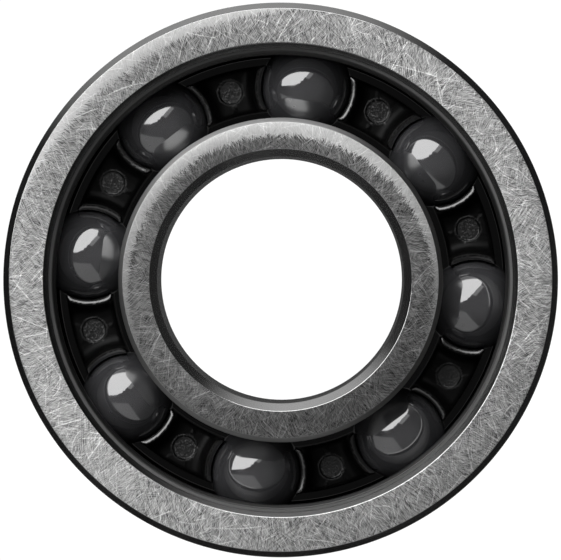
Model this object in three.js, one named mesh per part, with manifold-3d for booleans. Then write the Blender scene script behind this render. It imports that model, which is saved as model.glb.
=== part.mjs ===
// Open hybrid deep-groove ball bearing of inch size R8, in its 5/16 inch width: two steel rings,
// eight ceramic balls and a one-piece moulded crown cage.
// Millimetres. The origin is the centre of the bearing, and +Z runs along its axis towards
// the side on which the cage's claws are open.

import * as THREE from 'three';
import { mergeVertices } from 'three/addons/utils/BufferGeometryUtils.js';
import Module from 'manifold-3d';

// ---- Driving dimensions ----

// Standard boundary dimensions of the R8 size.
const BORE_R = 12.7 / 2;
const OUTER_R = 28.575 / 2;
const HALF_WIDTH = 7.9375 / 2;
const BORE_CHAMFER = 0.41;
const OUTER_CHAMFER = 0.3;

// Balls, and the circle that their centres run on.
const BALL_COUNT = 8;
const BALL_R = 4.7625 / 2;
const PITCH_R = 20.2 / 2;
const FIRST_BALL_DEG = 37.6;

// Raceways: the groove radius is a little over the ball's, and each groove stands off the ball.
const GROOVE_R = 2.5;
const RACE_CLEARANCE = 0.02;

// Outer ring's mouth, the same on both sides: lip, seal groove, then the shoulder.
const LIP_FACE_R = 12.22;
const LIP_R = 11.96;
const LIP_CHAMFER_DEPTH = 0.26;
const LIP_DEPTH = 0.5;
const SEAL_GROOVE_R = 12.25;
const SEAL_GROOVE_SLOPE = 0.2;
const SHOULDER_DEPTH = 1.19;
const OUTER_SHOULDER_R = 11.64;
const SHOULDER_CHAMFER = 0.16;

// Inner ring's shoulder.
const INNER_SHOULDER_R = 8.37;
const INNER_EDGE_CHAMFER = 0.13;

// Cage: a back ring, with a pair of claws round each ball.
const CAGE_INNER_R = 8.8;
const CAGE_OUTER_R = 11.2;
const CAGE_BACK_Z = -2.85;
const CAGE_EDGE_CHAMFER = 0.18;
const WEB_TOP_Z = 0.0;
const CLAW_TOP_Z = 1.15;
const POCKET_R = 2.48;
const THROAT_R = 2.32;
const MOUTH_R = 2.47;
const CLAW_TIP_R = 2.66;
const CLAW_ROOT_R = 3.05;
const EJECTOR_MARK_R = 0.625;
const EJECTOR_MARK_DEPTH = 0.08;

// Facets.
const RING_SEGMENTS = 64;
const GROOVE_STEPS = 8;
const BALL_SEGMENTS = 20;
const BALL_RINGS = 11;
const POCKET_SEGMENTS = 24;
const POCKET_STEPS = 7;
const MARK_SEGMENTS = 16;

// How far a cutter runs past the face that it cuts through.
const CUT_PAST = 1;

const wasm = await Module();
wasm.setup();

// ---- Materials ----

const groundSteel = new THREE.MeshStandardMaterial({
  color: 0xa0a09e,
  roughness: 0.38,
  metalness: 1,
});
const siliconNitride = new THREE.MeshStandardMaterial({
  color: 0x3b3c3e,
  roughness: 0.1,
  metalness: 0,
});
const blackPolyamide = new THREE.MeshStandardMaterial({
  color: 0x161616,
  roughness: 0.45,
  metalness: 0,
});

// ---- Shape helpers ----

// An outline of [radius, z] points, turned about the Z axis. It runs anticlockwise, with the
// radius to the right and Z up, and either starts and ends on the axis or ends where it starts.
function turned(outline, segments) {
  const points = outline.map(([r, z]) => new THREE.Vector2(r, z));
  return new THREE.LatheGeometry(points, segments).rotateX(Math.PI / 2);
}

// A ring turned from an outline that stays clear of the axis.
function turnedRing(outline) {
  return turned([...outline, outline[0]], RING_SEGMENTS);
}

// A cone or cylinder along Z, from one height to another.
function coneAlongZ(lowR, lowZ, highR, highZ, segments) {
  const height = highZ - lowZ;
  return new THREE.CylinderGeometry(highR, lowR, height, segments)
    .rotateX(Math.PI / 2)
    .translate(0, 0, lowZ + height / 2);
}

// Arc of a raceway in the [radius, z] plane, from its front edge to its back edge.
// The sign is +1 where the groove's bottom is the largest radius, and -1 where it is the smallest.
function racewayArc(shoulderR, sign) {
  const bottomR = PITCH_R + sign * (BALL_R + RACE_CLEARANCE);
  const centreR = bottomR - sign * GROOVE_R;
  const edgeAngle = Math.acos(((shoulderR - centreR) * sign) / GROOVE_R);
  const arc = [];
  for (let i = 0; i <= GROOVE_STEPS; i++) {
    const angle = edgeAngle * (1 - (2 * i) / GROOVE_STEPS);
    arc.push([centreR + sign * GROOVE_R * Math.cos(angle), GROOVE_R * Math.sin(angle)]);
  }
  return arc;
}

// The same points on the other side of the bearing's middle plane, in reverse order.
function mirroredBack(points) {
  return points.map(([r, z]) => [r, -z]).reverse();
}

function solidOf(geometry) {
  const positions = new THREE.BufferGeometry();
  const flat = geometry.index ? geometry.toNonIndexed() : geometry;
  positions.setAttribute('position', flat.getAttribute('position'));
  const merged = mergeVertices(positions, 1e-4);
  const mesh = new wasm.Mesh({
    numProp: 3,
    vertProperties: merged.getAttribute('position').array,
    triVerts: new Uint32Array(merged.index.array),
  });
  return new wasm.Manifold(mesh);
}

function geometryOf(solid) {
  const mesh = solid.getMesh();
  const geometry = new THREE.BufferGeometry();
  geometry.setAttribute('position', new THREE.BufferAttribute(mesh.vertProperties, 3));
  geometry.setIndex(new THREE.BufferAttribute(mesh.triVerts, 1));
  return geometry;
}

// Angle of ball number i, counted from 0, about the bearing's axis.
function ballAngle(i) {
  return THREE.MathUtils.degToRad(FIRST_BALL_DEG + (360 / BALL_COUNT) * i);
}

// A copy of the solid moved out to the pitch circle at an angle.
function onPitchCircle(solid, angle) {
  return solid.translate([PITCH_R * Math.cos(angle), PITCH_R * Math.sin(angle), 0]);
}

// ---- Pieces ----

function outerRingGeometry() {
  const shoulderZ = HALF_WIDTH - SHOULDER_DEPTH;
  const front = [
    [OUTER_R, HALF_WIDTH - OUTER_CHAMFER],
    [OUTER_R - OUTER_CHAMFER, HALF_WIDTH],
    [LIP_FACE_R, HALF_WIDTH],
    [LIP_R, HALF_WIDTH - LIP_CHAMFER_DEPTH],
    [LIP_R, HALF_WIDTH - LIP_DEPTH],
    [SEAL_GROOVE_R, HALF_WIDTH - LIP_DEPTH - SEAL_GROOVE_SLOPE],
    [SEAL_GROOVE_R, shoulderZ],
    [OUTER_SHOULDER_R + SHOULDER_CHAMFER, shoulderZ],
    [OUTER_SHOULDER_R, shoulderZ - SHOULDER_CHAMFER],
  ];
  const groove = racewayArc(OUTER_SHOULDER_R, 1);
  return turnedRing([...front, ...groove, ...mirroredBack(front)]);
}

function innerRingGeometry() {
  const front = [
    [BORE_R, HALF_WIDTH - BORE_CHAMFER],
    [BORE_R + BORE_CHAMFER, HALF_WIDTH],
    [INNER_SHOULDER_R - INNER_EDGE_CHAMFER, HALF_WIDTH],
    [INNER_SHOULDER_R, HALF_WIDTH - INNER_EDGE_CHAMFER],
  ];
  const groove = racewayArc(INNER_SHOULDER_R, -1);
  return turnedRing([...front, ...groove, ...mirroredBack(front)].reverse());
}

function ballGeometry() {
  return new THREE.SphereGeometry(BALL_R, BALL_SEGMENTS, BALL_RINGS).rotateX(Math.PI / 2);
}

// Turned ring with the cage's radii and chamfered back edges, up to the given height.
function cageBlank(topZ) {
  return solidOf(
    turnedRing([
      [CAGE_OUTER_R, topZ],
      [CAGE_INNER_R, topZ],
      [CAGE_INNER_R, CAGE_BACK_Z + CAGE_EDGE_CHAMFER],
      [CAGE_INNER_R + CAGE_EDGE_CHAMFER, CAGE_BACK_Z],
      [CAGE_OUTER_R - CAGE_EDGE_CHAMFER, CAGE_BACK_Z],
      [CAGE_OUTER_R, CAGE_BACK_Z + CAGE_EDGE_CHAMFER],
    ]),
  );
}

// The collar round one ball that becomes its two claws.
function clawCollar() {
  return solidOf(
    coneAlongZ(CLAW_ROOT_R, WEB_TOP_Z - CUT_PAST, CLAW_TIP_R, CLAW_TOP_Z, POCKET_SEGMENTS),
  );
}

// The ball's pocket, with the tapered mouth that the ball is snapped in through.
function pocketCutter() {
  const throatAngle = Math.acos(THROAT_R / POCKET_R);
  const throatZ = POCKET_R * Math.sin(throatAngle);
  const slope = (MOUTH_R - THROAT_R) / (CLAW_TOP_Z - throatZ);
  const outline = [[0, -POCKET_R]];
  for (let i = 1; i <= POCKET_STEPS; i++) {
    const angle = -Math.PI / 2 + ((Math.PI / 2 + throatAngle) * i) / POCKET_STEPS;
    outline.push([POCKET_R * Math.cos(angle), POCKET_R * Math.sin(angle)]);
  }
  outline.push([MOUTH_R + slope * CUT_PAST, CLAW_TOP_Z + CUT_PAST]);
  outline.push([0, CLAW_TOP_Z + CUT_PAST]);
  return solidOf(turned(outline, POCKET_SEGMENTS));
}

function ejectorMarkCutter() {
  const floorZ = WEB_TOP_Z - EJECTOR_MARK_DEPTH;
  return solidOf(
    coneAlongZ(EJECTOR_MARK_R, floorZ, EJECTOR_MARK_R, floorZ + CUT_PAST, MARK_SEGMENTS),
  );
}

function cageGeometry() {
  const collar = clawCollar();
  const pocket = pocketCutter();
  const mark = ejectorMarkCutter();
  const halfStep = Math.PI / BALL_COUNT;
  let body = cageBlank(WEB_TOP_Z);
  for (let i = 0; i < BALL_COUNT; i++) body = body.add(onPitchCircle(collar, ballAngle(i)));
  body = body.intersect(cageBlank(CLAW_TOP_Z));
  for (let i = 0; i < BALL_COUNT; i++) {
    body = body.subtract(onPitchCircle(pocket, ballAngle(i)));
    body = body.subtract(onPitchCircle(mark, ballAngle(i) + halfStep));
  }
  return geometryOf(body);
}

// ---- Assembly ----

function named(name, geometry, material) {
  const mesh = new THREE.Mesh(geometry, material);
  mesh.name = name;
  return mesh;
}

const bearing = new THREE.Group();
bearing.add(named('outer_ring', outerRingGeometry(), groundSteel));
bearing.add(named('inner_ring', innerRingGeometry(), groundSteel));
bearing.add(named('cage', cageGeometry(), blackPolyamide));

const ballShape = ballGeometry();
for (let i = 0; i < BALL_COUNT; i++) {
  const ball = named(`ball_${i + 1}`, ballShape, siliconNitride);
  ball.position.set(PITCH_R * Math.cos(ballAngle(i)), PITCH_R * Math.sin(ballAngle(i)), 0);
  bearing.add(ball);
}

export default bearing;
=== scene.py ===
"""Looks of an open hybrid deep-groove ball bearing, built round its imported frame.

The bearing lies on a pale floor with its axis along +Z. Lengths in this script are in
millimetres, in the frame's own axes, and become metres where a mesh, light or camera is made.
"""
import math
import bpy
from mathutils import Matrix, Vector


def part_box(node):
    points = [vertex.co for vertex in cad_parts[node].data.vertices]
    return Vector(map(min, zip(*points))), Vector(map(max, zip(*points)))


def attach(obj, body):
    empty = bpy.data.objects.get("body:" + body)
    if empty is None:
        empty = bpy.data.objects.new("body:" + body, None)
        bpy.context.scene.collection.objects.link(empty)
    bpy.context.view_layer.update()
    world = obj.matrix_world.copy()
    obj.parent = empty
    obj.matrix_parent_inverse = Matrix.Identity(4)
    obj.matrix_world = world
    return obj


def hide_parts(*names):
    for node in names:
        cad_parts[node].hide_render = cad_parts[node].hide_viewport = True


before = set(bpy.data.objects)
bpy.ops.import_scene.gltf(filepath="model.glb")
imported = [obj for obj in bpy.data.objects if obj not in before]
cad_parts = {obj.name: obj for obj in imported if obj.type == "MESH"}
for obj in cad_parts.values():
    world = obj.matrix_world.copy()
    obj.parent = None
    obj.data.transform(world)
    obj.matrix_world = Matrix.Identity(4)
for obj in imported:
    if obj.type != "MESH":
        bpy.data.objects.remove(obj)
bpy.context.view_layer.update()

from types import SimpleNamespace

import bmesh
import bpy
import numpy as np
from mathutils import Matrix, Vector

MM = 0.001

# ---- Sizes from the frame ----


def box_mm(node):
    """Lowest and highest corner of a CAD node, in millimetres."""
    low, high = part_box(node)
    return np.array(low) / MM, np.array(high) / MM


ring_high = box_mm("outer_ring")[1]
OUTER_R = float(ring_high[0])
HALF_WIDTH = float(ring_high[2])
BALL_NAMES = sorted(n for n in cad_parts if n.startswith("ball_"))
BALL_CENTRES = {n: sum(box_mm(n)) / 2 for n in BALL_NAMES}
first_low, first_high = box_mm("ball_1")
BALL_R = float(first_high[2] - first_low[2]) / 2
PITCH_R = math.hypot(*BALL_CENTRES["ball_1"][:2])
FIRST_BALL = math.atan2(BALL_CENTRES["ball_1"][1], BALL_CENTRES["ball_1"][0])
BALL_COUNT = len(BALL_NAMES)

# ---- Ring sections ----

BORE_R = 6.35
BORE_CHAMFER = 0.41
# Share of a corner chamfer's radial width that it drops along the axis.
CHAMFER_LEAN = 0.9
LIP_FACE_R = 12.22
LIP_R = 11.96
LIP_CHAMFER_DEPTH = 0.26
LIP_DEPTH = 0.5
SEAL_GROOVE_R = 12.25
SEAL_GROOVE_SLOPE = 0.2
SHOULDER_DEPTH = 1.19
OUTER_SHOULDER_R = 11.64
SHOULDER_CHAMFER = 0.16
INNER_SHOULDER_R = 8.37
INNER_EDGE_DROP = 0.19
GROOVE_R = 2.5
RACE_CLEARANCE = 0.02

# Fillets of the rings' corners.
SHARP_FILLET = 0.03
EDGE_FILLET = 0.04
SOFT_FILLET = 0.05
ROUND_FILLET = 0.06
LIP_FILLET = 0.09

# The ground faces roll off towards their outer edges, where they were tumbled.
OUTER_ROLL = dict(start=13.05, end=13.98, tilt_deg=5.0)
INNER_ROLL = dict(start=6.98, end=8.14, tilt_deg=8.0)
# A roll's fillet has a little less than the radius that would reach all the way to the edge.
ROLL_FIT = 0.985

# Facets. A gentle bend has a fixed number of steps, and other bends have steps of fixed angles.
RING_SEGMENTS = 360
GENTLE_BEND = math.radians(20)
GENTLE_STEPS = 8
FILLET_STEP = math.radians(9)
RACEWAY_STEP = math.radians(5)
# A corner that turns less than this is straight.
STRAIGHT = 1e-4

# ---- Cage ----

CAGE_INNER_R = 8.8
CAGE_OUTER_R = 11.2
CAGE_BACK_Z = -2.85
WEB_TOP_Z = 0.0
CLAW_TOP_Z = 1.15
POCKET_R = 2.48
THROAT_R = 2.32
# Rough slope of the throat's wall. It only scales the distance there.
THROAT_SLOPE = 0.1
LEAD_IN_LOW_R = 2.345
LEAD_IN_LOW_Z = 1.04
LEAD_IN_HIGH_R = 2.5
CLAW_TIP_R = 2.66
CLAW_ROOT_R = 3.05
CLAW_ROOT_Z = -1.0
CAGE_EDGE_R = 0.07
CLAW_EDGE_R = 0.035
CLAW_FOOT_R = 0.14

# Moulding marks on each web: the ejector mark with its rim, a fan-shaped step on its outer side
# and a square dot on its inner side. Places are from its centre, with x away from the axis.
MARK_R = 0.625
MARK_DEPTH = 0.06
MARK_ROUGHNESS = 0.003
RIM_HEIGHT = 0.035
RIM_OFFSET = 0.02
RIM_WIDTH = 0.035
RELIEF_BLUR = 0.02
FAN = dict(start=0.6, half_width=0.1725, spread=0.45, height=0.03)
DOT = dict(x=-0.92, y=-0.03, half_size=0.11, height=0.04)
# How far the claws' lead-in and the ejector mark reach as finishes: sideways, and down.
LEAD_IN_MARGIN = (0.04, 0.03)
MARK_MARGIN = (0.09, 0.3)

# Grid that the cage's surface is found on: (start, end, step) for each stretch.
CAGE_RADII = [(8.72, 11.28, 0.08)]
CAGE_HEIGHTS = [(-2.93, -2.5, 0.08), (-2.5, -0.3, 0.2), (-0.3, 0.75, 0.075), (0.75, 1.23, 0.048)]
SECTOR = 2 * math.pi / BALL_COUNT
CELLS_PER_SECTOR = 104
SETTLING_ROUNDS = 4
LARGEST_MOVE = 0.03
LEAST_STEEPNESS = 0.1
SLOPE_STEP = 1e-3


# ---- Meshes ----


def new_object(name, vertices_mm, faces, material, body):
    """A mesh object that rides on a body. Vertices are given in millimetres."""
    mesh = bpy.data.meshes.new(name)
    mesh.from_pydata([tuple(v) for v in np.asarray(vertices_mm) * MM], [], faces)
    mesh.materials.append(material)
    made = bpy.data.objects.new(name, mesh)
    bpy.context.scene.collection.objects.link(made)
    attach(made, body)
    return made


def rolled_face(roll):
    """Two corners of a face that curves down from flat towards its edge."""
    tilt = math.radians(roll["tilt_deg"])
    radius = (roll["end"] - roll["start"]) / math.sin(tilt)
    corner_r = roll["start"] + radius * math.tan(tilt / 2)
    drop = (roll["end"] - corner_r) * math.tan(tilt)
    return (corner_r, HALF_WIDTH, radius * ROLL_FIT), (roll["end"], HALF_WIDTH - drop)


def mirrored_back(corners):
    """The same corners on the back side, in reverse order."""
    return [(r, -z, fillet) for r, z, fillet in reversed(corners)]


def raceway_corner(shoulder_r, sign):
    """Where the tangents at a raceway's two edges meet, and the height of the front edge.

    The corner's fillet is the groove's radius. The sign is +1 where the groove's bottom is the
    largest radius, and -1 where it is the smallest.
    """
    bottom_r = PITCH_R + sign * (BALL_R + RACE_CLEARANCE)
    centre_r = bottom_r - sign * GROOVE_R
    edge_angle = math.acos((shoulder_r - centre_r) * sign / GROOVE_R)
    edge_z = GROOVE_R * math.sin(edge_angle)
    return (centre_r + sign * GROOVE_R / math.cos(edge_angle), 0.0, GROOVE_R), edge_z


def rotated(vector, angle):
    """A vector in the section's plane, turned anticlockwise."""
    c, s = math.cos(angle), math.sin(angle)
    return np.array([c * vector[0] - s * vector[1], s * vector[0] + c * vector[1]])


def bend_steps(turn, fillet):
    """How many straight steps a fillet takes through an angle."""
    if turn < GENTLE_BEND:
        return GENTLE_STEPS
    step = RACEWAY_STEP if fillet >= GROOVE_R else FILLET_STEP
    return max(2, math.ceil(turn / step))


def section(corners):
    """Points and normals round a closed section whose corners are [radius, z, fillet].

    Returns one (point, normal on leaving it, normal on reaching the next point) for each edge.
    The section runs anticlockwise, with the radius to the right and Z up.
    """
    edges = []
    count = len(corners)
    for i, (r, z, fillet) in enumerate(corners):
        here = np.array([r, z])
        before = here - np.array(corners[i - 1][:2])
        after = np.array(corners[(i + 1) % count][:2]) - here
        before /= np.linalg.norm(before)
        after /= np.linalg.norm(after)
        turn = math.atan2(before[0] * after[1] - before[1] * after[0], before @ after)
        out_before = np.array([before[1], -before[0]])
        out_after = np.array([after[1], -after[0]])
        if fillet <= 0 or abs(turn) < STRAIGHT:
            edges.append((here, out_after, out_after))
            continue
        reach = math.copysign(fillet, turn)
        centre = here - before * fillet * math.tan(abs(turn) / 2) - out_before * reach
        steps = bend_steps(abs(turn), fillet)
        normals = [rotated(out_before, turn * k / steps) for k in range(steps + 1)]
        for k in range(steps):
            edges.append((centre + normals[k] * reach, normals[k], normals[k + 1]))
        edges.append((centre + normals[steps] * reach, out_after, out_after))
    return edges


def turned_ring(name, corners, material, body):
    """A ring turned from a section, smooth along its fillets and exactly flat on its flats."""
    edges = section(corners)
    count = len(edges)
    points = np.array([e[0] for e in edges])
    angles = np.arange(RING_SEGMENTS) * 2 * math.pi / RING_SEGMENTS
    cos, sin = np.cos(angles), np.sin(angles)
    vertices = np.empty((RING_SEGMENTS, count, 3))
    vertices[..., 0] = cos[:, None] * points[:, 0]
    vertices[..., 1] = sin[:, None] * points[:, 0]
    vertices[..., 2] = points[:, 1]
    faces, normals = [], []
    for a in range(RING_SEGMENTS):
        b = (a + 1) % RING_SEGMENTS
        for j in range(count):
            k = (j + 1) % count
            faces.append((a * count + j, b * count + j, b * count + k, a * count + k))
            for at, which in ((a, 1), (b, 1), (b, 2), (a, 2)):
                n = edges[j][which]
                normals.append((n[0] * cos[at], n[0] * sin[at], n[1]))
    ring = new_object(name, vertices.reshape(-1, 3), faces, material, body)
    ring.data.shade_smooth()
    ring.data.normals_split_custom_set(normals)
    return ring


def outer_ring_corners():
    """Corners of the outer ring's section, from its outside diameter round by the mouth."""
    roll, edge = rolled_face(OUTER_ROLL)
    raceway, edge_z = raceway_corner(OUTER_SHOULDER_R, 1)
    lip_back_z = HALF_WIDTH - LIP_DEPTH
    shoulder_z = HALF_WIDTH - SHOULDER_DEPTH
    chamfer_drop = (OUTER_R - edge[0]) * CHAMFER_LEAN
    front = [
        (OUTER_R, edge[1] - chamfer_drop, EDGE_FILLET),
        (*edge, SOFT_FILLET),
        roll,
        (LIP_FACE_R, HALF_WIDTH, LIP_FILLET),
        (LIP_R, HALF_WIDTH - LIP_CHAMFER_DEPTH, EDGE_FILLET),
        (LIP_R, lip_back_z, SHARP_FILLET),
        (SEAL_GROOVE_R, lip_back_z - SEAL_GROOVE_SLOPE, EDGE_FILLET),
        (SEAL_GROOVE_R, shoulder_z, ROUND_FILLET),
        (OUTER_SHOULDER_R + SHOULDER_CHAMFER, shoulder_z, SOFT_FILLET),
        (OUTER_SHOULDER_R, shoulder_z - SHOULDER_CHAMFER, SOFT_FILLET),
        (OUTER_SHOULDER_R, edge_z, 0),
    ]
    return [*front, raceway, *mirrored_back(front)]


def inner_ring_corners():
    """Corners of the inner ring's section, from its raceway round by the bore."""
    roll, edge = rolled_face(INNER_ROLL)
    raceway, edge_z = raceway_corner(INNER_SHOULDER_R, -1)
    front = [
        (INNER_SHOULDER_R, edge_z, 0),
        (INNER_SHOULDER_R, edge[1] - INNER_EDGE_DROP, ROUND_FILLET),
        (*edge, EDGE_FILLET),
        roll,
        (BORE_R + BORE_CHAMFER, HALF_WIDTH, EDGE_FILLET),
        (BORE_R, HALF_WIDTH - BORE_CHAMFER * CHAMFER_LEAN, EDGE_FILLET),
    ]
    return [*front, *mirrored_back(front), raceway]


# ---- Cage surface, from a distance field in cylindrical coordinates ----


def smooth_max(a, b, radius):
    """The larger of two distances, blended over a radius where they are close."""
    h = np.maximum(radius - np.abs(a - b), 0) / radius
    return np.maximum(a, b) + h * h * radius / 4


def smooth_min(a, b, radius):
    """The smaller of two distances, blended in the same way."""
    return -smooth_max(-a, -b, radius)


def pocket_distance(rho, z):
    """Distance outside the ball's pocket and its mouth, at radius rho from the ball's axis."""
    throat_z = math.sqrt(POCKET_R**2 - THROAT_R**2)
    sphere = np.hypot(rho, z) - POCKET_R
    heights = [throat_z, LEAD_IN_LOW_Z, CLAW_TOP_Z, CLAW_TOP_Z + 1]
    lead_slope = (LEAD_IN_HIGH_R - LEAD_IN_LOW_R) / (CLAW_TOP_Z - LEAD_IN_LOW_Z)
    radii = [THROAT_R, LEAD_IN_LOW_R, LEAD_IN_HIGH_R, LEAD_IN_HIGH_R + lead_slope]
    wall = np.interp(z, heights, radii)
    slope = np.where(z > LEAD_IN_LOW_Z, lead_slope, THROAT_SLOPE)
    mouth = (rho - wall) / np.sqrt(1 + slope**2)
    return np.where(z < throat_z, sphere, mouth)


def soft_step(distance, blur):
    """1 well below a distance of zero and 0 well above it."""
    return 1 / (1 + np.exp(np.clip(distance / blur, -30, 30)))


def web_relief(r, angle):
    """Height of the moulding marks on the web, midway between two balls."""
    x = r * np.cos(angle) - PITCH_R
    y = r * np.sin(angle)
    past_mark = np.hypot(x, y) - MARK_R
    height = -MARK_DEPTH * soft_step(past_mark, RELIEF_BLUR)
    height += RIM_HEIGHT * np.exp(-(((past_mark - RIM_OFFSET) / RIM_WIDTH) ** 2))
    rough = np.sin(31 * x + 9 * y) * np.sin(23 * y - 14 * x) + np.sin(47 * x * y + 13 * x)
    height += MARK_ROUGHNESS * rough * soft_step(past_mark + 3 * RELIEF_BLUR, 1.5 * RELIEF_BLUR)
    past_side = np.abs(y) - FAN["half_width"] - FAN["spread"] * x
    fan = soft_step(FAN["start"] - x, RELIEF_BLUR) * soft_step(past_side, RELIEF_BLUR)
    height += FAN["height"] * fan * soft_step(1.5 * RELIEF_BLUR - past_mark, RELIEF_BLUR)
    past_dot = np.maximum(np.abs(x - DOT["x"]), np.abs(y - DOT["y"])) - DOT["half_size"]
    height += DOT["height"] * soft_step(past_dot, RELIEF_BLUR)
    return height


def cage_distance(r, angle, z):
    """Distance outside the cage, with the ball's pocket at angle 0 and the web's middle at
    plus or minus half a step."""
    x = r * np.cos(angle) - PITCH_R
    y = r * np.sin(angle)
    rho = np.hypot(x, y)
    middle = (CAGE_INNER_R + CAGE_OUTER_R) / 2
    band = np.abs(r - middle) - (CAGE_OUTER_R - CAGE_INNER_R) / 2
    web = z - WEB_TOP_Z - web_relief(r, SECTOR / 2 - np.abs(angle))
    lean = (CLAW_ROOT_R - CLAW_TIP_R) / (CLAW_TOP_Z - CLAW_ROOT_Z)
    side = (rho - CLAW_TIP_R + (z - CLAW_TOP_Z) * lean) / math.hypot(1, lean)
    collar = smooth_max(side, z - CLAW_TOP_Z, 2 * CLAW_EDGE_R)
    body = smooth_min(web, collar, 4 * CLAW_FOOT_R)
    body = smooth_max(body, CAGE_BACK_Z - z, 4 * CAGE_EDGE_R)
    body = smooth_max(body, band, 4 * CAGE_EDGE_R)
    return smooth_max(body, -pocket_distance(rho, z), 2 * CLAW_EDGE_R)


def spaced(*stretches):
    """Positions along an axis: (start, end, step) for each stretch, in order."""
    parts = [np.linspace(a, b, max(1, round((b - a) / s)), endpoint=False) for a, b, s in stretches]
    return np.concatenate([*parts, [stretches[-1][1]]])


def crossings(field):
    """Where the surface crosses the edges of each grid cell: the sum of the crossing places, as
    positions on the grid counted from the cell's first corner, and how many there are."""
    nr, na, nz = field.shape
    total = np.zeros((nr - 1, na, nz - 1, 3))
    hits = np.zeros((nr - 1, na, nz - 1))

    def at(corner):
        i, j, k = corner
        return np.roll(field, -j, axis=1)[i : nr - 1 + i, :, k : nz - 1 + k]

    for start in np.ndindex(2, 2, 2):
        for axis in range(3):
            if start[axis]:
                continue
            end = tuple(1 if n == axis else v for n, v in enumerate(start))
            low, high = at(start), at(end)
            crossing = (low < 0) != (high < 0)
            share = np.where(crossing, low / np.where(crossing, low - high, 1), 0)
            for n in range(3):
                place = share if n == axis else float(start[n])
                total[..., n] += np.where(crossing, place, 0)
            hits += crossing
    return total, hits


def next_along(inside, axis):
    """Whether each grid point's neighbour along an axis is inside. Only the second axis wraps."""
    following = np.roll(inside, -1, axis=axis)
    if axis != 1:
        last = [slice(None)] * 3
        last[axis] = -1
        following[tuple(last)] = inside[tuple(last)]
    return following


def surface_net(field):
    """Corners, as grid positions, and quads of the surface where the field is zero. The second
    axis wraps round."""
    total, hits = crossings(field)
    used = hits > 0
    number = np.full(used.shape, -1)
    number[used] = np.arange(used.sum())
    places = np.stack(np.nonzero(used), -1) + total[used] / hits[used][:, None]
    inside = field < 0
    quads = []
    for axis in range(3):
        u, v = [n for n in range(3) if n != axis]
        changes = np.nonzero(inside != next_along(inside, axis))
        for i, j, k in np.stack(changes, -1):
            corners = []
            for du, dv in ((-1, -1), (0, -1), (0, 0), (-1, 0)):
                cell = [i, j, k]
                cell[u] += du
                cell[v] += dv
                cell[1] %= field.shape[1]
                corners.append(number[tuple(cell)])
            if (axis == 1) == bool(inside[i, j, k]):
                corners.reverse()
            quads.append(corners)
    return places, np.array(quads)


def folded(angle):
    """The same angle in the sector that has its ball at angle 0."""
    return (angle + SECTOR / 2) % SECTOR - SECTOR / 2


def distance_at(points):
    """The cage's distance at points given as radius, angle and Z."""
    return cage_distance(points[:, 0], folded(points[:, 1]), points[:, 2])


def slope_at(points):
    """The distance's slope along the radius, round the axis and along Z."""
    slopes = []
    for n in range(3):
        offset = np.zeros(3)
        offset[n] = SLOPE_STEP / (PITCH_R if n == 1 else 1)
        rise = distance_at(points + offset) - distance_at(points - offset)
        slopes.append(rise / (2 * SLOPE_STEP))
    slopes[1] = slopes[1] * PITCH_R / points[:, 0]
    return np.stack(slopes, -1)


def settled(points):
    """The points moved along the slope until they are on the cage's surface."""
    for _ in range(SETTLING_ROUNDS):
        slope = slope_at(points)
        steepness = np.maximum((slope**2).sum(1), LEAST_STEEPNESS)
        move = -(distance_at(points) / steepness)[:, None] * slope
        move = np.clip(move, -LARGEST_MOVE, LARGEST_MOVE)
        move[:, 1] /= points[:, 0]
        points = points + move
    return points


def cage_sector():
    """One sector of the cage: its points as radius, angle and Z, their cells and its quads."""
    radii = spaced(*CAGE_RADII)
    heights = spaced(*CAGE_HEIGHTS)
    angles = np.arange(CELLS_PER_SECTOR) / CELLS_PER_SECTOR * SECTOR - SECTOR / 2
    grid = np.meshgrid(radii, angles, heights, indexing="ij")
    places, quads = surface_net(cage_distance(*grid))
    r = np.interp(places[:, 0], np.arange(len(radii)), radii)
    z = np.interp(places[:, 2], np.arange(len(heights)), heights)
    angle = places[:, 1] / CELLS_PER_SECTOR * SECTOR - SECTOR / 2
    return settled(np.stack([r, angle, z], -1)), places[:, 1], quads


def all_quads(quads, cells, count):
    """The quads of every sector. Those at a sector's end reach over to the next one's corners."""
    across = cells[quads]
    wraps = across.max(1) - across.min(1) > CELLS_PER_SECTOR / 2
    reaches_over = wraps[:, None] & (across < CELLS_PER_SECTOR / 2)
    faces = []
    for sector in range(BALL_COUNT):
        following = (sector + 1) % BALL_COUNT
        faces.append(quads + np.where(reaches_over, following, sector) * count)
    return np.concatenate(faces)


def from_cylindrical(radial, around, z, angle):
    """Vectors along X, Y and Z, from their parts at an angle."""
    c, s = np.cos(angle), np.sin(angle)
    return np.stack([radial * c - around * s, radial * s + around * c, z], -1)


def cage_finish(points):
    """Two values for each point: 1 on the polished lead-in of the claws, and 1 on an ejector mark."""
    r, angle, z = points[:, 0], folded(points[:, 1]), points[:, 2]
    from_ball = np.hypot(r * np.cos(angle) - PITCH_R, r * np.sin(angle))
    sideways, down = LEAD_IN_MARGIN
    lead_in = (from_ball < LEAD_IN_HIGH_R + sideways) & (z > LEAD_IN_LOW_Z - down)
    beside = SECTOR / 2 - np.abs(angle)
    from_mark = np.hypot(r * np.cos(beside) - PITCH_R, r * np.sin(beside))
    sideways, down = MARK_MARGIN
    on_mark = (from_mark < MARK_R + sideways) & (z > WEB_TOP_Z - down)
    return {"lead_in": lead_in.astype(float), "marked": on_mark.astype(float)}


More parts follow.
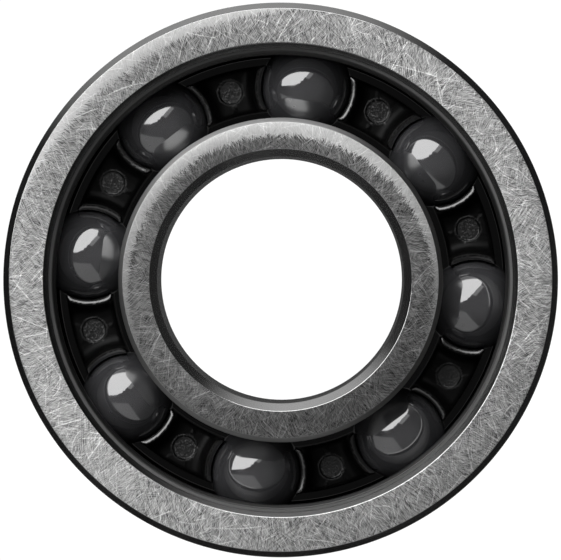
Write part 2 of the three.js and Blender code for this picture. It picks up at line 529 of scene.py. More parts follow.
def cage_mesh(material):
    """The whole cage, from one sector repeated round the axis."""
    points, cells, quads = cage_sector()
    normals = slope_at(points)
    normals /= np.linalg.norm(normals, axis=1)[:, None]
    vertices, all_normals = [], []
    for sector in range(BALL_COUNT):
        angle = points[:, 1] + sector * SECTOR + FIRST_BALL
        vertices.append(from_cylindrical(points[:, 0], 0, points[:, 2], angle))
        all_normals.append(from_cylindrical(*normals.T, angle))
    faces = all_quads(quads, cells, len(points)).tolist()
    made = new_object("cage_moulded", np.concatenate(vertices), faces, material, "cage")
    made.data.shade_smooth()
    made.data.normals_split_custom_set_from_vertices(np.concatenate(all_normals).tolist())
    for finish, values in cage_finish(points).items():
        layer = made.data.attributes.new(finish, "FLOAT", "POINT")
        layer.data.foreach_set("value", np.tile(values, BALL_COUNT))
    return made


def ball_mesh(node, material):
    """A finely divided sphere at the ball's place."""
    shape = bmesh.new()
    bmesh.ops.create_icosphere(shape, subdivisions=6, radius=BALL_R * MM)
    mesh = bpy.data.meshes.new(node + "_polished")
    shape.to_mesh(mesh)
    shape.free()
    mesh.materials.append(material)
    mesh.shade_smooth()
    made = bpy.data.objects.new(node + "_polished", mesh)
    bpy.context.scene.collection.objects.link(made)
    made.location = Vector(BALL_CENTRES[node]) * MM
    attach(made, node)
    return made


# ---- Materials ----

# Grinding marks: patch size, mark length, mark width, seed, strength.
GRINDING_FIBRES = (
    (1.1, 0.7, 0.034, 1, 0.16),
    (1.6, 1.1, 0.042, 2, 0.16),
    (0.8, 0.5, 0.03, 3, 0.14),
    (0.6, 0.35, 0.04, 4, 0.14),
    (1.4, 0.9, 0.03, 5, 0.14),
)
# Single scratches: cell size, width, seed, and slope of the normal.
SCRATCHES = (
    (0.5, 0.016, 11, 0.4),
    (0.7, 0.018, 12, 0.45),
    (0.9, 0.02, 13, 0.45),
    (1.2, 0.02, 14, 0.5),
    (1.6, 0.021, 15, 0.5),
    (2.2, 0.022, 16, 0.55),
    (3.2, 0.024, 17, 0.6),
)
# How far a patch's direction may lie from the radius, both ways.
FIBRE_SPREAD = math.radians(60)
SCRATCH_SPREAD = math.radians(80)
SCRATCH_BEND = 0.6
# How far apart different seeds, and different patches, look things up.
SEED_SHIFT = (7.3, 3.1)
PATCH_SHIFT = 91.0
GRINDING_ANISOTROPY = 0.4
# How much of the texture is left where a face is worn smooth.
WORN_TILT = 0.08
WORN_TONE = 0.2
WORN_SCRATCHES = 0.35
# Each ring's faces. They are worn smooth outside a circle with the given centre and radius, where a
# painted highlight also makes the grey paler, and painted shade makes them darker by a share towards
# an azimuth.
OUTER_FACE = dict(
    flat_grey=0.41, flat_painted_shade=0.16, flat_painted_dark_deg=110.0,
    worn_grey_and_highlight=0.54, worn_painted_shade=0.0, worn_painted_dark_deg=0.0,
    worn_centre=(2.0, -2.87, 0.0), worn_radius=16.8,
)
INNER_FACE = dict(
    flat_grey=0.157, flat_painted_shade=0.0, flat_painted_dark_deg=0.0,
    worn_grey_and_highlight=0.38, worn_painted_shade=0.5, worn_painted_dark_deg=225.0,
    worn_centre=(0.035, -0.4, 0.0), worn_radius=7.83,
)
# How far the grain frays the worn area's edge, and where past its circle it starts and is full.
WORN_FRAYING = 0.35
WORN_EDGE = (-0.08, 0.1)
# Painted shade and light on rolled edges that are not worn: they are darker towards an azimuth and
# paler opposite.
ROLLED_PAINTED_SHADE = 0.5
ROLLED_PAINTED_DARK_DEG = 130.0
# Zones of a ring, each with where it starts and ends: parts of the normal along the axis that
# count as flat and as rolled, and heights and radii where one zone passes into the next.
FLAT_FACING = (0.93, 0.975)
ROLLED_FACING = (0.9995, 0.995)
GROUND_HEIGHT = (HALF_WIDTH - 0.16, HALF_WIDTH - 0.13)
GROOVE_HEIGHT = (HALF_WIDTH - LIP_DEPTH - 0.05, HALF_WIDTH - LIP_DEPTH)
BORE_END_R = (BORE_R + BORE_CHAMFER, BORE_R + BORE_CHAMFER + 0.1)
LAND_START_R = (7.0, 7.05)
LAND_END_R = (INNER_SHOULDER_R - 0.01, INNER_SHOULDER_R + 0.1)
MOUTH_START_R = (INNER_SHOULDER_R + 0.1, INNER_SHOULDER_R + 0.3)
MOUTH_END_R = (SEAL_GROOVE_R + 0.01, SEAL_GROOVE_R + 0.03)
GROOVE_END_R = (12.7, 12.8)
# The step beside the outer shoulder gets painted light: it is paler than the rest of the grooves.
STEP_FACING = (0.8, 0.97)
STEP_R = (OUTER_SHOULDER_R + SHOULDER_CHAMFER, OUTER_SHOULDER_R + SHOULDER_CHAMFER + 0.1)
# Sizes of the two noises that all steel has: small clouds, and a slow drift.
CLOUD_SIZE = 0.4
DRIFT_SIZE = 3.0
CLOUD_SHARE = 0.6
CLOUD_CONTRAST = 0.9
GRAIN_CONTRAST = 1.7
SCRATCH_CONTRAST = 1.1
WHITEST = 0.95
FACE_ROUGHNESS = 0.5
FACE_UNEVENNESS = 0.12
EDGE_ROUGHNESS = 0.42
EDGE_UNEVENNESS = 0.04
TURNED_GREY = 0.5
TURNED_ROUGHNESS = 0.15
TURNED_UNEVENNESS = 0.06
TURNING_TILT = 0.1
TURNING_LINES = 26.0
GROOVE_ROUGHNESS = 0.38
# Painted shade: the mouth, the grooves and the inner ring's land are darkened.
MOUTH_PAINTED_SHADE = 0.55
GROOVE_PAINTED_SHADE = 0.28
# Painted light on the step beside the outer shoulder.
STEP_PAINTED_LIGHT = 1.35
LAND_ROUGHNESS = 0.3
LAND_PAINTED_SHADE = 0.7
# Painted highlight: the bore and its chamfer are made paler.
BORE_PAINTED_HIGHLIGHT = 1.25
# Span that most of a noise's values lie in.
NOISE_SPAN = (0.3, 0.7)
# Blue against red and green.
STEEL_BLUE = 0.995
BALL_BLUE = 1.06
BALL_GREY = 0.044
BALL_IOR = 2.2
BALL_ROUGHNESS = (0.05, 0.10)
BALL_TILT = 0.006
SMUDGE_SIZE = 1.1
SMUDGE_SPAN = (0.45, 0.75)
SPECKLE_SIZE = 0.12
SPECKLE_ROUGHNESS = 0.02
CAGE_GREY = 0.003
CAGE_ROUGHNESS = 0.42
CAGE_UNEVENNESS = 0.2
CAGE_PATCH_SIZE = 0.8
CAGE_GRAIN_SIZE = 0.07
LEAD_IN_ROUGHNESS = 0.25
CAGE_SPECULAR = 0.09
MARK_POLISH = 0.45
CAGE_IOR = 1.6
CAGE_GRAIN = 0.12
MARK_GRAIN = 1.1


def feed(tree, node, inputs):
    """Set or link a shader node's inputs."""
    for name, value in inputs.items():
        if isinstance(value, bpy.types.NodeSocket):
            tree.links.new(value, node.inputs[name])
        else:
            node.inputs[name].default_value = value


def add(tree, kind, inputs=None, **settings):
    """A shader node with its inputs set or linked."""
    made = tree.nodes.new("ShaderNode" + kind)
    for name, value in settings.items():
        setattr(made, name, value)
    feed(tree, made, inputs or {})
    return made


def maths(tree, operation, a, b=0.0):
    """A number worked out from one or two others."""
    return add(tree, "Math", {0: a, 1: b}, operation=operation).outputs[0]


def vector_maths(tree, operation, a, b=None, scale=None):
    """A vector, or a number, worked out from one or two vectors or a vector and a scale."""
    inputs = {0: a}
    if b is not None:
        inputs[1] = b
    if scale is not None:
        inputs["Scale"] = scale
    made = add(tree, "VectorMath", inputs, operation=operation)
    return made.outputs["Value" if operation in ("LENGTH", "DOT_PRODUCT") else "Vector"]


def cleared_tree(owner):
    """The node tree of a material or world, with nothing in it."""
    owner.use_nodes = True
    owner.node_tree.nodes.clear()
    return owner.node_tree


def new_material(name):
    """A material with one surface shader, its tree and the shader."""
    material = bpy.data.materials.new(name)
    tree = cleared_tree(material)
    shader = add(tree, "BsdfPrincipled")
    add(tree, "OutputMaterial", {"Surface": shader.outputs[0]})
    return material, tree, shader


def tinted(tree, grey, blue):
    """A grey whose blue is a little stronger or weaker."""
    return add(
        tree, "CombineColor", {0: grey, 1: grey, 2: maths(tree, "MULTIPLY", grey, blue)}
    ).outputs[0]


def object_mm(tree):
    """The piece's own coordinates, in millimetres."""
    place = add(tree, "TexCoord").outputs["Object"]
    return vector_maths(tree, "SCALE", place, scale=1 / MM)


def around_middle(tree, value, amount):
    """A value from 0 to 1, made to swing about 0 and scaled."""
    return maths(tree, "MULTIPLY", maths(tree, "SUBTRACT", value, 0.5), amount)


def remapped(tree, value, low, high, to_low, to_high, smooth=True):
    """The value's stretch from low to high, mapped to another stretch and held beyond it."""
    made = add(
        tree,
        "MapRange",
        {"Value": value, "From Min": low, "From Max": high, "To Min": to_low, "To Max": to_high},
        interpolation_type="SMOOTHSTEP" if smooth else "LINEAR",
    )
    return made.outputs["Result"]


def varied(tree, noise, level, low_share, high_share):
    """A level that goes from one share of itself to another with a noise."""
    return remapped(
        tree, noise, *NOISE_SPAN, level * low_share, level * high_share, smooth=False
    )


def rising(tree, value, span):
    """0 up to the span's start, and 1 from its end."""
    return remapped(tree, value, *span, 0.0, 1.0)


def falling(tree, value, span):
    """1 up to the span's start, and 0 from its end."""
    return remapped(tree, value, *span, 1.0, 0.0)


def blend(tree, factor, low, high):
    """From the low value to the high one as the factor goes from 0 to 1."""
    made = add(tree, "Mix", {"Factor": factor, "A": low, "B": high}, data_type="FLOAT")
    return made.outputs[0]


def tilted_normal(tree, tilt):
    """The surface's normal, tilted by a vector in the piece's own axes."""
    turned_tilt = add(
        tree, "VectorTransform", {"Vector": tilt},
        vector_type="VECTOR", convert_from="OBJECT", convert_to="WORLD",
    ).outputs[0]
    normal = add(tree, "NewGeometry").outputs["Normal"]
    return vector_maths(tree, "NORMALIZE", vector_maths(tree, "ADD", normal, turned_tilt))


def patches(tree, place, cell, seed, spread):
    """Patches of the surface that each have a direction, radial to within a spread.

    Returns the position along and across the patch's direction, the across direction itself and
    two random values of the patch.
    """
    shift = (seed * SEED_SHIFT[0], seed * SEED_SHIFT[1], 0.0)
    shifted = vector_maths(tree, "ADD", place, shift)
    cells = add(tree, "TexVoronoi", {"Vector": shifted, "Scale": 1 / cell}, voronoi_dimensions="2D")
    centre = cells.outputs["Position"]
    chance = add(tree, "SeparateColor", {"Color": cells.outputs["Color"]})
    from_axis = add(tree, "SeparateXYZ", {0: vector_maths(tree, "SUBTRACT", centre, shift)})
    azimuth = maths(tree, "ARCTAN2", from_axis.outputs[1], from_axis.outputs[0])
    swing = around_middle(tree, chance.outputs[0], 2 * spread)
    turn = maths(tree, "ADD", azimuth, swing)
    back = maths(tree, "MULTIPLY", turn, -1.0)
    local = vector_maths(tree, "SUBTRACT", shifted, centre)
    turned_local = add(tree, "VectorRotate", {"Vector": local, "Angle": back}, rotation_type="Z_AXIS")
    across = add(
        tree, "VectorRotate", {"Vector": (0.0, 1.0, 0.0), "Angle": turn}, rotation_type="Z_AXIS"
    )
    return turned_local.outputs[0], across.outputs[0], chance.outputs[1], chance.outputs[2]


def fibres(tree, place, cell, length, width, seed):
    """Dense fine grinding marks, each patch of them in its own direction, from -0.5 to 0.5."""
    local, across, first, _ = patches(tree, place, cell, seed, FIBRE_SPREAD)
    stretched = vector_maths(tree, "MULTIPLY", local, (1 / length, 1 / width, 0.0))
    jump = maths(tree, "MULTIPLY", first, PATCH_SHIFT)
    offset = add(tree, "CombineXYZ", {0: jump, 1: 0.0, 2: 0.0})
    noise = add(
        tree, "TexNoise",
        {
            "Vector": vector_maths(tree, "ADD", stretched, offset.outputs[0]),
            "Scale": 1.0, "Detail": 1.5, "Roughness": 0.6,
        },
        noise_dimensions="2D",
    ).outputs[0]
    return maths(tree, "SUBTRACT", noise, 0.5), across


def scratch(tree, place, cell, width, seed):
    """One thin, slightly bent scratch in each patch: its groove's slope, depth and direction."""
    local, across, first, second = patches(tree, place, cell, seed, SCRATCH_SPREAD)
    axes = add(tree, "SeparateXYZ", {0: local})
    along, aside = axes.outputs[0], axes.outputs[1]
    bend = around_middle(tree, first, SCRATCH_BEND / cell)
    bow = maths(tree, "MULTIPLY", maths(tree, "MULTIPLY", along, along), bend)
    off = maths(tree, "MULTIPLY", maths(tree, "ADD", aside, bow), 1 / width)
    square = maths(tree, "MULTIPLY", off, off)
    depth = maths(tree, "EXPONENT", maths(tree, "MULTIPLY", square, -1.0))
    depth = maths(tree, "MULTIPLY", depth, maths(tree, "POWER", second, 2.0))
    return maths(tree, "MULTIPLY", off, depth), depth, across


def turning_tilt(tree, place, flat_place, radius):
    """Tilt of the normal by fine lines that run round the axis."""
    z = add(tree, "SeparateXYZ", {0: place}).outputs[2]
    outward = vector_maths(tree, "NORMALIZE", flat_place)
    slow = vector_maths(tree, "SCALE", outward, scale=1.6)
    height = add(tree, "CombineXYZ", {0: 0.0, 1: 0.0, 2: maths(tree, "MULTIPLY", z, TURNING_LINES)})
    noise = add(
        tree, "TexNoise",
        {
            "Vector": vector_maths(tree, "ADD", slow, height.outputs[0]),
            "W": maths(tree, "MULTIPLY", radius, TURNING_LINES),
            "Scale": 1.0, "Detail": 2.0, "Roughness": 0.65,
        },
        noise_dimensions="4D",
    ).outputs[0]
    lean = vector_maths(tree, "ADD", outward, (0.0, 0.0, -1.0))
    return vector_maths(tree, "SCALE", lean, scale=around_middle(tree, noise, TURNING_TILT))


def noise_value(tree, place, size, detail=2.0):
    """Noise from 0 to 1, with features of about the given size."""
    made = add(
        tree, "TexNoise", {"Vector": place, "Scale": 1 / size, "Detail": detail},
        noise_dimensions="3D",
    )
    return made.outputs[0]


def painted_shade_towards(tree, outward, azimuth_deg, share):
    """Painted shade: a factor that falls below 1 by a share towards an azimuth, and rises above it
    opposite.
    """
    azimuth = math.radians(azimuth_deg)
    way = (math.cos(azimuth), math.sin(azimuth), 0.0)
    towards = vector_maths(tree, "DOT_PRODUCT", outward, way)
    return maths(tree, "SUBTRACT", 1.0, maths(tree, "MULTIPLY", towards, share))


def ground_texture(tree, place):
    """Tilt of the normal by the grinding marks and scratches, and the tone of each of the two."""
    tilt, grain, marks = (0.0, 0.0, 0.0), 0.0, 0.0
    for cell, length, width, seed, strength in GRINDING_FIBRES:
        fibre, across = fibres(tree, place, cell, length, width, seed)
        lean = vector_maths(tree, "SCALE", across, scale=maths(tree, "MULTIPLY", fibre, strength))
        tilt = vector_maths(tree, "ADD", tilt, lean)
        grain = maths(tree, "ADD", grain, fibre)
    for cell, width, seed, strength in SCRATCHES:
        slope, depth, across = scratch(tree, place, cell, width, seed)
        lean = vector_maths(tree, "SCALE", across, scale=maths(tree, "MULTIPLY", slope, strength))
        tilt = vector_maths(tree, "ADD", tilt, lean)
        marks = maths(tree, "ADD", marks, depth)
    return tilt, grain, marks


def ring_zones(tree, place, face, grain):
    """Where a point of a ring is, and how far it belongs to each of the ring's zones."""
    flat_place = vector_maths(tree, "MULTIPLY", place, (1.0, 1.0, 0.0))
    radius = vector_maths(tree, "LENGTH", flat_place)
    height = maths(tree, "ABSOLUTE", add(tree, "SeparateXYZ", {0: place}).outputs[2])
    own_normal = add(tree, "TexCoord").outputs["Normal"]
    facing = maths(tree, "ABSOLUTE", add(tree, "SeparateXYZ", {0: own_normal}).outputs[2])
    is_flat = rising(tree, facing, FLAT_FACING)
    ground = maths(tree, "MULTIPLY", rising(tree, height, GROUND_HEIGHT), is_flat)

    off_centre = vector_maths(tree, "SUBTRACT", flat_place, face["worn_centre"])
    past_worn_and_highlight = maths(tree, "SUBTRACT", vector_maths(tree, "LENGTH", off_centre), face["worn_radius"])
    frayed = maths(tree, "ADD", past_worn_and_highlight, maths(tree, "MULTIPLY", grain, WORN_FRAYING))

    past_land = rising(tree, radius, MOUTH_START_R)
    in_groove = maths(tree, "MULTIPLY", past_land, falling(tree, radius, GROOVE_END_R))
    on_land = maths(
        tree, "MULTIPLY", falling(tree, radius, LAND_END_R), rising(tree, radius, LAND_START_R)
    )
    return SimpleNamespace(
        flat_place=flat_place,
        radius=radius,
        facing=facing,
        ground=ground,
        rolled=rising(tree, facing, ROLLED_FACING),
        worn_and_highlight=rising(tree, frayed, WORN_EDGE),
        mouth=maths(tree, "MULTIPLY", falling(tree, radius, MOUTH_END_R), past_land),
        groove=maths(tree, "MULTIPLY", in_groove, falling(tree, height, GROOVE_HEIGHT)),
        land=on_land,
    )


def steel_normal(tree, place, zone, tilt):
    """Normal with grinding marks on the ground faces and turning marks elsewhere."""
    amount = maths(tree, "MULTIPLY", zone.ground, blend(tree, zone.worn_and_highlight, 1.0, WORN_TILT))
    ground_tilt = vector_maths(tree, "SCALE", tilt, scale=amount)
    turning = turning_tilt(tree, place, zone.flat_place, zone.radius)
    turned_tilt = vector_maths(
        tree, "SCALE", turning, scale=maths(tree, "SUBTRACT", 1.0, zone.ground)
    )
    return tilted_normal(tree, vector_maths(tree, "ADD", ground_tilt, turned_tilt))


def steel_roughness(tree, zone, clouds, drift):
    """Roughness of each zone, uneven by a share of the clouds or of the drift."""
    flat_rough = maths(tree, "ADD", FACE_ROUGHNESS, around_middle(tree, clouds, FACE_UNEVENNESS))
    edge_rough = maths(tree, "ADD", EDGE_ROUGHNESS, around_middle(tree, clouds, EDGE_UNEVENNESS))
    unevenness = around_middle(tree, drift, TURNED_UNEVENNESS)
    turned_rough = maths(tree, "ADD", TURNED_ROUGHNESS, unevenness)
    turned_rough = blend(tree, zone.groove, turned_rough, GROOVE_ROUGHNESS)
    turned_rough = blend(tree, zone.land, turned_rough, LAND_ROUGHNESS)
    ground_rough = blend(tree, zone.rolled, flat_rough, edge_rough)
    return blend(tree, zone.ground, turned_rough, ground_rough)


def ground_grey(tree, zone, face, clouds, drift, grain, marks):
    """Grey of the ground faces: clouds, grinding marks and scratches, calmer where rubbed smooth,
    with a painted highlight there and painted shade towards azimuths.
    """
    cloudy = blend(tree, CLOUD_SHARE, drift, clouds)
    tone = around_middle(tree, cloudy, CLOUD_CONTRAST)
    tone = maths(tree, "ADD", tone, maths(tree, "MULTIPLY", grain, GRAIN_CONTRAST))
    tone = maths(tree, "MULTIPLY", tone, blend(tree, zone.worn_and_highlight, 1.0, WORN_TONE))
    scratches = maths(tree, "MULTIPLY", marks, SCRATCH_CONTRAST)
    scratches = maths(tree, "MULTIPLY", scratches, blend(tree, zone.worn_and_highlight, 1.0, WORN_SCRATCHES))
    tone = maths(tree, "ADD", maths(tree, "ADD", tone, scratches), 1.0)

    outward = vector_maths(tree, "NORMALIZE", zone.flat_place)
    # Painted shade: the faces are darker towards an azimuth. The smooth area's paler grey is a
    # painted highlight.
    flat_painted_shade = painted_shade_towards(tree, outward, face["flat_painted_dark_deg"], face["flat_painted_shade"])
    worn_painted_shade = painted_shade_towards(tree, outward, face["worn_painted_dark_deg"], face["worn_painted_shade"])
    # Painted shade and light on the rolled edges.
    rolled_painted_shade = painted_shade_towards(tree, outward, ROLLED_PAINTED_DARK_DEG, ROLLED_PAINTED_SHADE)
    flat_painted_shade = maths(tree, "MULTIPLY", flat_painted_shade, blend(tree, zone.rolled, 1.0, rolled_painted_shade))
    flat_grey = maths(tree, "MULTIPLY", flat_painted_shade, face["flat_grey"])
    worn_grey_and_highlight = maths(tree, "MULTIPLY", worn_painted_shade, face["worn_grey_and_highlight"])
    return maths(tree, "MULTIPLY", tone, blend(tree, zone.worn_and_highlight, flat_grey, worn_grey_and_highlight))


def turned_grey(tree, zone, drift):
    """Grey of the turned surfaces, with painted shade in the mouth, the grooves and on the land,
    painted light on the step beside the outer shoulder and a painted highlight on the bore.
    """
    # Painted shade in the grooves, rising to painted light on the step beside the outer shoulder.
    by_slope = remapped(tree, zone.facing, *STEP_FACING, GROOVE_PAINTED_SHADE, STEP_PAINTED_LIGHT)
    by_radius = remapped(tree, zone.radius, *STEP_R, GROOVE_PAINTED_SHADE, STEP_PAINTED_LIGHT)
    groove_painted_shade_and_step_light = maths(tree, "MINIMUM", by_slope, by_radius)
    grey = varied(tree, drift, TURNED_GREY, 0.95, 1.05)
    for shade in (
        blend(tree, zone.mouth, 1.0, MOUTH_PAINTED_SHADE),
        blend(tree, zone.groove, 1.0, groove_painted_shade_and_step_light),
        blend(tree, zone.land, 1.0, LAND_PAINTED_SHADE),
        # Painted highlight on the bore and its chamfer.
        remapped(tree, zone.radius, *BORE_END_R, BORE_PAINTED_HIGHLIGHT, 1.0),
    ):
        grey = maths(tree, "MULTIPLY", grey, shade)
    return grey


def ground_steel(name, face):
    """Faces ground and then tumbled, with smoother edges; everything else finely turned."""
    material, tree, shader = new_material(name)
    place = object_mm(tree)
    tilt, grain, marks = ground_texture(tree, place)
    zone = ring_zones(tree, place, face, grain)
    clouds = noise_value(tree, place, CLOUD_SIZE)
    drift = noise_value(tree, place, DRIFT_SIZE)
    on_faces = ground_grey(tree, zone, face, clouds, drift, grain, marks)
    elsewhere = turned_grey(tree, zone, drift)
    grey = maths(tree, "MINIMUM", blend(tree, zone.ground, elsewhere, on_faces), WHITEST)
    around = add(tree, "Tangent", direction_type="RADIAL", axis="Z")
    feed(
        tree, shader,
        {
            "Base Color": tinted(tree, grey, STEEL_BLUE),
            "Metallic": 1.0,
            "Roughness": steel_roughness(tree, zone, clouds, drift),
            "Normal": steel_normal(tree, place, zone, tilt),
            "Tangent": around.outputs[0],
            "Anisotropic": maths(tree, "MULTIPLY", zone.ground, GRINDING_ANISOTROPY),
        },
    )
    return material


def silicon_nitride():
    """Lapped ceramic, with faint smudges and hair-fine handling marks."""
    material, tree, shader = new_material("silicon_nitride")
    place = object_mm(tree)
    smudge = noise_value(tree, place, SMUDGE_SIZE, detail=3.0)
    speckle = noise_value(tree, place, SPECKLE_SIZE)
    grey = varied(tree, smudge, BALL_GREY, 0.8, 1.25)
    haze = remapped(tree, smudge, *SMUDGE_SPAN, *BALL_ROUGHNESS)
    specks = maths(tree, "MULTIPLY", speckle, SPECKLE_ROUGHNESS)
    wave = around_middle(tree, speckle, BALL_TILT)
    sway = add(tree, "CombineXYZ", {0: wave, 1: maths(tree, "MULTIPLY", wave, -0.7), 2: wave})
    feed(
        tree, shader,
        {
            "Base Color": tinted(tree, grey, BALL_BLUE),
            "Roughness": maths(tree, "ADD", haze, specks),
            "Normal": tilted_normal(tree, sway.outputs[0]),
            "IOR": BALL_IOR,
        },
    )
    return material


def cage_polymer():
    """Moulded polymer: near black, with a fine grain and a few polished places."""
    material, tree, shader = new_material("cage_polymer")
    place = object_mm(tree)
    lead_in = add(tree, "Attribute", attribute_name="lead_in").outputs["Fac"]
    marked = add(tree, "Attribute", attribute_name="marked").outputs["Fac"]
    polish = maths(tree, "MAXIMUM", lead_in, maths(tree, "MULTIPLY", marked, MARK_POLISH))
    graining = blend(tree, marked, CAGE_GRAIN, MARK_GRAIN)
    sways = []
    for shift in ((0.0, 0.0, 0.0), (17.0, 5.0, 9.0)):
        shifted = vector_maths(tree, "ADD", place, shift)
        grain = noise_value(tree, shifted, CAGE_GRAIN_SIZE, detail=3.0)
        sways.append(around_middle(tree, grain, graining))
    sway = add(tree, "CombineXYZ", {0: sways[0], 1: sways[1], 2: 0.0})
    patch = noise_value(tree, place, CAGE_PATCH_SIZE)
    grey = varied(tree, patch, CAGE_GREY, 0.6, 1.4)
    level = blend(tree, polish, CAGE_ROUGHNESS, LEAD_IN_ROUGHNESS)
    feed(
        tree, shader,
        {
            "Base Color": tinted(tree, grey, 1.0),
            "Roughness": maths(tree, "ADD", level, around_middle(tree, patch, CAGE_UNEVENNESS)),
            "Specular IOR Level": blend(tree, polish, CAGE_SPECULAR, 1.0),
            "Normal": tilted_normal(tree, sway.outputs[0]),
            "IOR": CAGE_IOR,
        },
    )
    return material


# ---- Pieces ----

outer_steel = ground_steel("outer_ring_steel", OUTER_FACE)
inner_steel = ground_steel("inner_ring_steel", INNER_FACE)
ceramic = silicon_nitride()
polymer = cage_polymer()

outer = turned_ring("outer_ring_ground", outer_ring_corners(), outer_steel, "outer_ring")
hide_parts("outer_ring")

inner = turned_ring("inner_ring_ground", inner_ring_corners(), inner_steel, "inner_ring")
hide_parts("inner_ring")

for node in BALL_NAMES:
    ball = ball_mesh(node, ceramic)
    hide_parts(node)

cage = cage_mesh(polymer)
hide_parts("cage")


# ---- Stage, light and camera ----


def emission(name, strength):
    """A material that only gives off light."""
    material = bpy.data.materials.new(name)
    tree = cleared_tree(material)
    light = add(tree, "Emission", {"Color": (1, 1, 1, 1), "Strength": strength})
    add(tree, "OutputMaterial", {"Surface": light.outputs[0]})
    return material


def staged(name, vertices_mm, faces, materials):
    """A mesh of the surroundings, which isn't part of the bearing."""
    mesh = bpy.data.meshes.new(name)
    mesh.from_pydata([tuple(c * MM for c in v) for v in vertices_mm], [], faces)
    for material in materials:
        mesh.materials.append(material)
    made = bpy.data.objects.new(name, mesh)
    bpy.context.scene.collection.objects.link(made)
    return made


def light_panel(name, outline, height, strength):
    """A flat softbox above the bearing, seen in its reflections and not by the camera."""
    corners = [(x, y, height) for x, y in outline]
    made = staged(name, corners, [range(len(corners))], [emission(name, strength)])
    made.visible_camera = False


KEY_OUTLINE = [
    (-405, 30), (-115, 24), (-62, 42), (-50, 44), (-44, 62), (-26, 66), (-15, 90), (8, 108),
    (35, 152), (110, 262), (190, 480), (190, 524), (-405, 524),
]
KEY_HEIGHT = 200
KEY_STRENGTH = 4.0

# A weak panel close above the bearing, on the camera's lower left.
LOW_OUTLINE = [(-110, -15), (-5, -15), (60, -115), (60, -150), (-110, -150)]
LOW_HEIGHT = 42
LOW_STRENGTH = 0.5

# A dimmer strip along the key panel's edge, just below it.
WEDGE_OUTLINE = [(-2, 92), (30, 78), (150, 240), (112, 258), (38, 150), (14, 108)]
WEDGE_HEIGHT = KEY_HEIGHT - 2
WEDGE_STRENGTH = 0.9

light_panel("key_panel", KEY_OUTLINE, KEY_HEIGHT, KEY_STRENGTH)
light_panel("low_panel", LOW_OUTLINE, LOW_HEIGHT, LOW_STRENGTH)
light_panel("wedge_panel", WEDGE_OUTLINE, WEDGE_HEIGHT, WEDGE_STRENGTH)

FLOOR_R = 300.0
COVERED_R = OUTER_R - 0.1
FLOOR_SEGMENTS = 128
PALE = 1.05
# Strength of the painted shadow on the floor under the bearing.
PAINTED_SHADOW = 0.004


def floor():
    """A pale floor that lights nothing, with a painted shadow where the bearing covers it."""
    vertices = [(0.0, 0.0, -HALF_WIDTH)]
    for radius in (BORE_R, COVERED_R, FLOOR_R):
        for k in range(FLOOR_SEGMENTS):
            angle = 2 * math.pi * k / FLOOR_SEGMENTS
            vertices.append((radius * math.cos(angle), radius * math.sin(angle), -HALF_WIDTH))
    faces, kinds = [], []
    for k in range(FLOOR_SEGMENTS):
        here = 1 + k
        beside = 1 + (k + 1) % FLOOR_SEGMENTS
        covered = [i + FLOOR_SEGMENTS for i in (here, beside)]
        outside = [i + FLOOR_SEGMENTS for i in covered]
        faces.append((0, here, beside))
        faces.append((here, covered[0], covered[1], beside))
        faces.append((covered[0], outside[0], outside[1], covered[1]))
        kinds.extend((0, 1, 0))
    materials = [emission("floor_pale", PALE), emission("floor_painted_shadow", PAINTED_SHADOW)]
    made = staged("floor", vertices, faces, materials)
    made.data.polygons.foreach_set("material_index", kinds)
    made.visible_diffuse = False
    made.visible_glossy = False
    made.visible_shadow = False


floor()

# The world's light. A span is where a light starts and where it is full, as the direction's part
# upwards or, for the glow, towards the glow's own direction.
SKY_LOW = 0.008
SKY_TOP = 0.14
SKY_SPAN = (0.25, 0.95)
HAZE = 0.07
HAZE_SPAN = (0.1, 0.25)
GLOW = 0.48
GLOW_SPAN = (0.62, 1.0)
GLOW_WAY = (-0.2, 0.96, 0.1)
# Light from below the horizon, stronger on one side, and dim straight below.
GROUND_GLOW = 0.3
GROUND_SPAN = (-0.015, -0.09)
GROUND_WAY = (0.9, -0.44, 0.0)
GROUND_BIAS = 0.4
FLOOR_GLOW = 0.05
FLOOR_SPAN = (-0.6, -0.95)


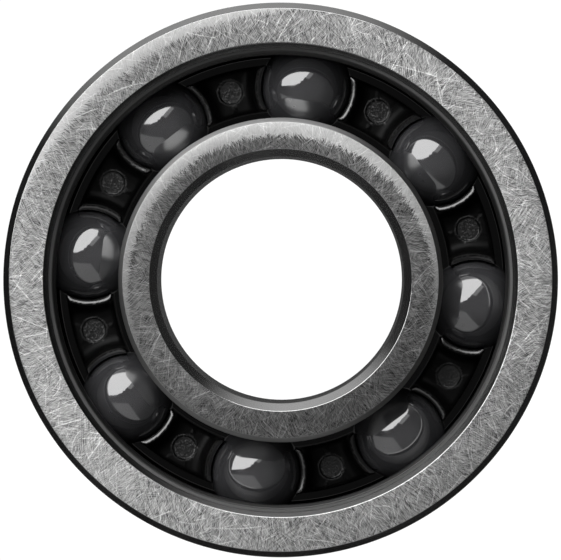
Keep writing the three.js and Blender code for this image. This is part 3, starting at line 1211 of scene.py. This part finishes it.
def studio_world():
    """White to the camera; otherwise dark at the horizon, lighter overhead and towards the back."""
    world = bpy.data.worlds.new("studio")
    bpy.context.scene.world = world
    tree = cleared_tree(world)
    way = add(tree, "TexCoord").outputs["Generated"]
    up = add(tree, "SeparateXYZ", {"Vector": way}).outputs["Z"]
    sky = remapped(tree, up, *SKY_SPAN, SKY_LOW, SKY_TOP)
    sky = maths(tree, "MAXIMUM", sky, remapped(tree, up, *HAZE_SPAN, 0.0, HAZE))
    towards = vector_maths(tree, "DOT_PRODUCT", way, GLOW_WAY)
    glow = remapped(tree, towards, *GLOW_SPAN, 0.0, GLOW)
    aside = vector_maths(tree, "DOT_PRODUCT", way, GROUND_WAY)
    lopsided = maths(tree, "ADD", maths(tree, "MULTIPLY", aside, GROUND_BIAS), 1 - GROUND_BIAS)
    ground = maths(tree, "MULTIPLY", lopsided, GROUND_GLOW)
    ground = blend(tree, rising(tree, up, FLOOR_SPAN), ground, FLOOR_GLOW)
    below = maths(tree, "MULTIPLY", ground, rising(tree, up, GROUND_SPAN))
    grey = maths(tree, "ADD", maths(tree, "ADD", sky, glow), below)
    seen = add(tree, "LightPath").outputs["Is Camera Ray"]
    strength = blend(tree, seen, grey, PALE)
    background = add(tree, "Background", {"Color": (1, 1, 1, 1), "Strength": strength})
    add(tree, "OutputWorld", {"Surface": background.outputs[0]})


studio_world()

CAMERA_DISTANCE = 300.0
CAMERA_MM = Vector((2.1, 1.2, HALF_WIDTH + CAMERA_DISTANCE))
SENSOR_MM = 36.0
SEEN_WIDTH_MM = 28.86

camera_data = bpy.data.cameras.new("camera")
camera_data.sensor_width = SENSOR_MM
camera_data.lens = SENSOR_MM * CAMERA_DISTANCE / SEEN_WIDTH_MM
camera_data.clip_start = 0.01
camera_data.clip_end = 10.0
camera = bpy.data.objects.new("camera", camera_data)
bpy.context.scene.collection.objects.link(camera)
camera.location = CAMERA_MM * MM
backward = (CAMERA_MM - Vector((0.0, 0.0, HALF_WIDTH))).normalized()
rightward = Vector((0.0, 1.0, 0.0)).cross(backward).normalized()
upward = backward.cross(rightward)
camera.rotation_euler = Matrix((rightward, upward, backward)).transposed().to_euler()
bpy.context.scene.camera = camera
bpy.context.scene.view_settings.view_transform = "Standard"
